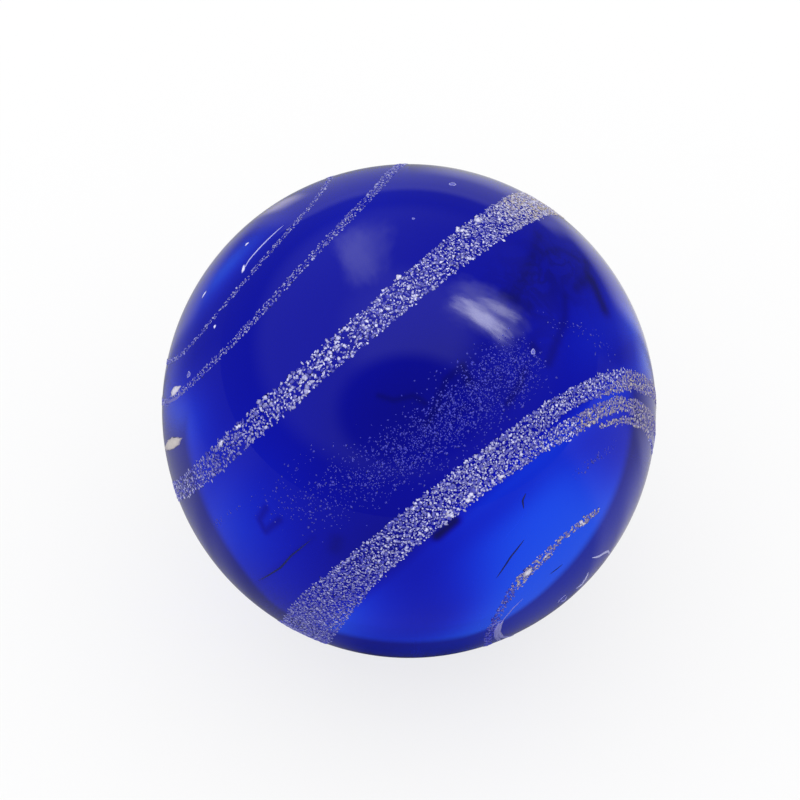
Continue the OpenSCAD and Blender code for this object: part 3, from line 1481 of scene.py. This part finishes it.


# ---- Places and sizes ----

# Painted light and shade of the floor as gloss sees it, by bearing and distance from the ball's foot
MIRROR_PATCHES = [
    Patch((0.11, 0.11, 0.12), 22, 68, 3, 62),
    Patch((0.13, 0.13, 0.14), -66, -28, 5, 52),
    Patch((0.34, 0.34, 0.35), -27, 20, 3, 1),
    Patch((0.60, 0.60, 0.60), 3, 20, 5, 1, 75),
    Patch((0.75, 0.74, 0.73), 22, 48, 4, 1, 54),
    Patch((0.42, 0.42, 0.43), 23, 29, 3, 50, 130),
    Patch((0.56, 0.55, 0.56), 50, 80, 4, 1, 33),
    Patch((0.32, 0.31, 0.33), 80, 108, 4, 1),
    Patch((0.52, 0.51, 0.53), 72, 92, 5, 1, 21),
    Patch((1.00, 0.94, 0.85), -22, -17, 1.5, 36, 62),
    Patch((0.48, 0.48, 0.50), -50, -24, 4, 1, 44),
    Patch((0.32, 0.32, 0.34), -78, -52, 6, 1, 34),
    Patch((0.37, 0.37, 0.39), -98, -70, 8, 1, 44),
    Patch((0.28, 0.28, 0.30), -112, -98, 8, 1),
    # Painted shadow: the floor just in front of the ball's foot, dark in gloss
    Patch((0.03, 0.03, 0.04), 146, 220, 18, 1, 14),
    Patch((0.03, 0.03, 0.04), -220, -150, 16, 1, 14),
]
CARDS = [
    Card("key_lamp", 74, 58, 32, 12, 8.4, -51, 0.9, 0.7),
    Card("key_lamp_edge", 67, 49.5, 22, 8, 5, -62, 0.95, 0.7),
    Card("key_glow", 69, 55, 40, 30, 2.1, -52, 0.9, 0.6, distance=0.63),
    Card("side_lamp", -22, 46, 23, 46, 0.9, 21, 0.8, 0.5, distance=0.63),
    Card("side_lamp_edge", -27, 46, 42, 16, 1.5, 106, 0.9, 0.5),
]
CLOUDS = [
    Cloud((0, 1), 24, 13, 0.36),
    Cloud((-60, 7), 26, 18, -0.55),
    Cloud((50, -14), 14, 9, -0.25),
    Cloud((50, 4), 16, 8, 0.15),
    Cloud((-28, -28), 16, 14, 0.52, -30),
    Cloud((-52, -38), 22, 9, 0.32),
    Cloud((52, -41), 15, 9, 0.5),
    Cloud((4, -31), 20, 5, 0.25),
    Cloud((36, -33), 12, 6, 0.28),
    Cloud((64, -30), 10, 8, 0.45),
    Cloud((76, -19), 12, 9, -0.8),
    Cloud((-70, 38), 12, 11, -0.5),
    Cloud((-56, 32), 12, 9, -0.4),
    Cloud((-40, -46), 12, 8, 0.38),
    Cloud((-28, 65.5), 16, 7, -0.75, 20),
    Cloud((40, 50), 25, 12, -0.15),
]
WISPS = [
    Wisp([(-3, 7), (-1, 4), (3, 2), (4, -1)], 0.7, 0.35),
    Wisp([(1, -5), (6, -3), (11, 0), (14, 0)], 0.9, 0.35),
    Wisp([(16, 0), (15, -3)], 1.0, 0.6),
    Wisp([(27, -10), (23, -12), (19, -13)], 1.0, 0.5),
    Wisp([(33, -7), (33, -8)], 1.1, 0.45),
    Wisp([(50, -3), (45, -7), (38, -10), (34, -12)], 1.2, 0.4),
    Wisp([(60, 12), (52, 9), (43, 6), (37, 5)], 1.3, 0.35),
    Wisp([(36, 6), (39, 1)], 1.5, 0.4),
    Wisp([(56, -3), (62, -3), (68, 0)], 1.3, 0.5),
    Wisp([(64, -4), (62, -8), (61, -11)], 1.6, 0.9),
    Wisp([(55, 8), (62, 6), (65, 2)], 1.0, 0.3),
    Wisp([(-43, 4), (-47, 3), (-48, 0), (-42, 0)], 0.9, 0.4),
    Wisp([(-66, -8), (-55, -8), (-46, -8), (-38, -8)], 0.8, 0.12),
    Wisp([(-34, -12), (-36, -13)], 1.8, 0.3),
    Wisp([(-15, -26.6), (-9, -26.6)], 1.1, 1.6),
]
INKS = [
    Cloud((50, 3), 18, 9, 0.3),
    Cloud((14, -6), 20, 6, 0.2),
]
CLUMPS = [
    *[(43, 24.5), (50, 24), (20, 25.5), (18, 18.8), (-37, 22.8), (-45, 22.5), (77, 18.5)],
    *[(7, -25.3), (-2, -25.2), (-9, -24.7), (23, -51.8), (5, -52.3), (-5, -52.5)],
]
DRIFTS = [
    Drift([(-46, 0.5), (-7, -7.4), (32, -8)], 3.6, 3500, law=(2.5, 1.3)),
    Drift([(-48, 6), (-34, 6), (-20, 7)], 1.2, 40),
    Drift([(-45, 0.5), (-10, 0.5)], 0.8, 40),
    Drift([(40, -5), (56, -19)], 2.0, 60),
    Drift([(-64, 8.8), (-43, 7.7)], 0.4, 26, warmth=0.9),
    Drift([(25, -38), (45, -39)], 0.8, 60),
]
# Chips and bubbles with painted highlights, and painted glints
MARKS = [
    Mark((-16, 59.2), 0.62, 0.24, 70, MarkLook.GLINT),
    Mark((-63, 41.7), 1.6, 0.46, -3, MarkLook.CHIP_AND_HIGHLIGHT, 0.3, 0.6),
    Mark((-73, 30.9), 4.6, 0.6, -4, MarkLook.CHIP_AND_HIGHLIGHT, 0.6, 1.0),
    Mark((-52, 42.6), 0.4, 0.34, 0, MarkLook.BUBBLE_AND_HIGHLIGHT),
    Mark((62, 35.7), 0.5, 0.38, 0, MarkLook.BUBBLE_AND_HIGHLIGHT),
    Mark((-10.5, 68.3), 0.3, 0.24, 0, MarkLook.GLINT),
    Mark((-45, 62.3), 0.5, 0.2, 40, MarkLook.GLINT),
    Mark((-35, 49), 0.22, 0.22, 0, MarkLook.GLINT),
    Mark((38, 35), 0.16, 0.16, 0, MarkLook.BUBBLE_AND_HIGHLIGHT),
    Mark((32, -7.8), 0.34, 0.26, 30, MarkLook.BUBBLE_AND_HIGHLIGHT),
    Mark((-4, -76.5), 0.7, 0.3, 20, MarkLook.BUBBLE_AND_HIGHLIGHT),
]
# Pale scratches are partly real scratches, partly painted highlight along them; dark ones are ink
SCRATCHES = [
    Scratch([(-17, 58.4), (-12, 60.6), (-4, 61.9), (4, 62.6), (12, 62.9)], 0.1, 0.6, 0.1),
    Scratch([(28, -67.1), (36, -69.4), (44, -70.2), (51, -71.2), (67, -74.3)], 0.18, 0.6, 0.15),
    Scratch([(16, -78.8), (26, -78.9), (29, -76.6), (29, -73.7)], 0.16, 0.7, 0.1),
    Scratch([(-8, -79.2), (-3, -80.6), (2, -78.3)], 0.14, 0.4, 0.4),
    Scratch([(-78, 41.1), (-69, 40.2), (-61, 39.5), (-57, 39.8)], 0.18, 0.15, 0.5),
    Scratch([(-15, -59.9), (-22, -60.4), (-30, -61.6), (-37, -63.1)], 0.07, 0.3, 0.4),
    Scratch([(-32, -62), (-37, -63.1), (-45, -65.3), (-59, -69.6), (-90, -75.4)], 0.26, 0.3, 0.3),
    Scratch([(-34, -61.6), (-42, -63.7), (-54, -67.1), (-78, -71.3)], 0.3, 0.3, 0.35),
    Scratch([(-39, -61), (-35, -60.7), (-32, -61.8)], 0.1, 0.3, 0.4),
    Scratch([(10, -33), (8, -34), (7, -36)], 0.1, dark=1.0),
    Scratch([(-14, -47), (-5, -44.5), (2, -43)], 0.1, dark=1.0),
    Scratch([(1, -59.2), (9, -59.5)], 0.07, dark=1.0),
    Scratch([(-65, -7.6), (-53, -8.6), (-47, -8), (-39, -8.1)], 0.11, dark=1.0),
]


def main() -> None:
    """Builds the marble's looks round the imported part."""
    logging.basicConfig(level=logging.INFO, format="%(name)s: %(message)s")
    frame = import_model()
    bpy.context.scene.view_settings.view_transform = "Standard"
    radius = max(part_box("glass_ball")[1])
    LOG.info("the ball's radius is %.3f mm", radius / MM)

    Viewpoint(radius).build()
    Studio(radius, MIRROR_PATCHES, CARDS).build()
    silver = SilverFleck().material(mottle_group())
    pieces = [GlassBall(radius, [*CLOUDS, *WISPS], INKS).build()]
    pieces += SilverTrail(radius, frame["nodes"]["silver_trail"], CLUMPS).build(silver)
    pieces.append(SilverDust(radius, DRIFTS).build(silver))
    pieces.append(SkinMarks(radius, MARKS, SCRATCHES).build(silver))
    for piece in pieces:
        LOG.info("%s has %d faces", piece.name, len(piece.data.polygons))


if __name__ == "__main__":
    main()
